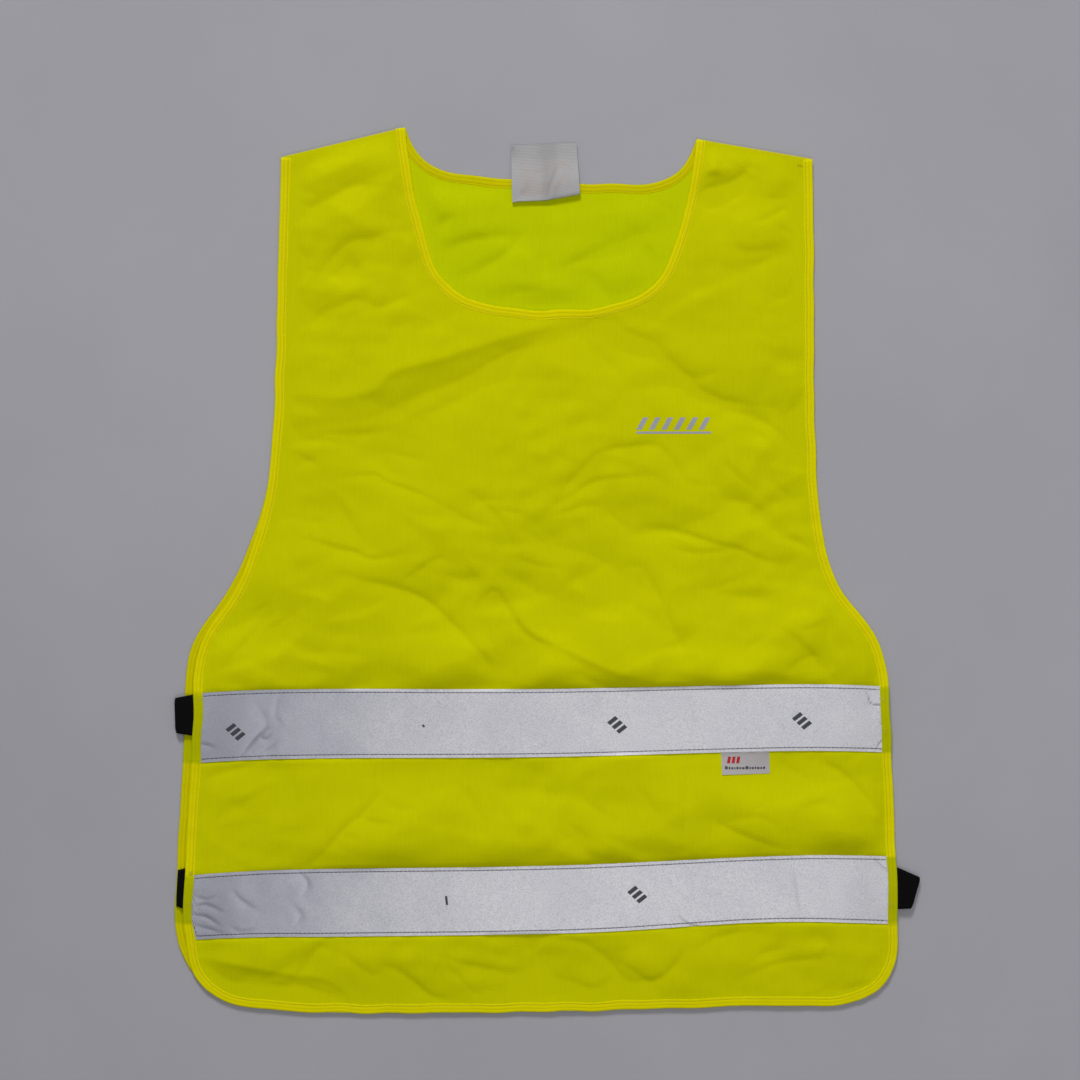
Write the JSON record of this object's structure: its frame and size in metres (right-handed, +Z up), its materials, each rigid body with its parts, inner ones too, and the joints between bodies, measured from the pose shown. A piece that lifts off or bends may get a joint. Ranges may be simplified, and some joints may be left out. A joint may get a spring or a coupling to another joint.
{
  "type": "high visibility vest",
  "caption": "Open-sided fluorescent yellow high visibility vest, laid flat, with two silver reflective bands, a bound neck opening and elastic side straps.",
  "frame": {"origin": "on the surface that the vest lies on, under the middle of its outline", "axes": "+Z up from that surface, +Y from the hem to the neck, +X to the right as seen from above with the front of the vest uppermost"},
  "size_m": [0.551, 0.6539, 0.0072],
  "materials": {
    "knit": "fluorescent yellow warp-knitted polyester, matt",
    "binding": "fluorescent yellow folded binding tape, matt",
    "reflective_tape": "silver glass-bead retroreflective tape, satin",
    "seam": "yellow seam allowance, overlocked",
    "elastic": "black woven elastic webbing",
    "yellow_thread": "yellow polyester sewing thread",
    "grey_thread": "grey polyester sewing thread",
    "label": "white woven satin label",
    "transfer_print": "silver-grey heat-transfer print"
  },
  "bodies": {
    "back": {"back_panel": "knit", "back_edge_binding": "binding", "back_neck_binding": "binding", "back_upper_tape": "reflective_tape", "back_lower_tape": "reflective_tape", "left_shoulder_seam": "seam", "right_shoulder_seam": "seam", "left_upper_strap": "elastic", "left_lower_strap": "elastic", "right_upper_strap": "elastic", "right_lower_strap": "elastic", "back_strap_bartacks": "yellow_thread", "back_tape_stitching": "grey_thread", "back_binding_stitching": "yellow_thread", "neck_label_root": "label", "neck_label_stitching": "yellow_thread"},
    "front": {"front_panel": "knit", "front_edge_binding": "binding", "front_neck_binding": "binding", "front_upper_tape": "reflective_tape", "front_lower_tape": "reflective_tape", "front_strap_bartacks": "yellow_thread", "front_tape_stitching": "grey_thread", "front_binding_stitching": "yellow_thread", "chest_transfer": "transfer_print"},
    "neck_label": {"neck_label_flap": "label"},
    "flag_tab": {"flag_label": "label"}
  },
  "joints": [
    {"name": "front_lift", "type": "hinge", "parent": "back", "child": "front", "pos_m": [0, 0.3269, 0.0064], "axis": [-1, 0, 0], "range_deg": [0, 9], "deforming": ["left_upper_strap", "left_lower_strap", "right_upper_strap", "right_lower_strap"]},
    {"name": "neck_label_turn", "type": "hinge", "parent": "back", "child": "neck_label", "pos_m": [0.0007, 0.2728, 0.0033], "axis": [0.999, 0.0436, 0], "range_deg": [0, 170]},
    {"name": "flag_tab_turn", "type": "hinge", "parent": "front", "child": "flag_tab", "pos_m": [0.147, -0.13456, 0.00683], "axis": [-1, 0, 0], "range_deg": [0, 150]}
  ]
}
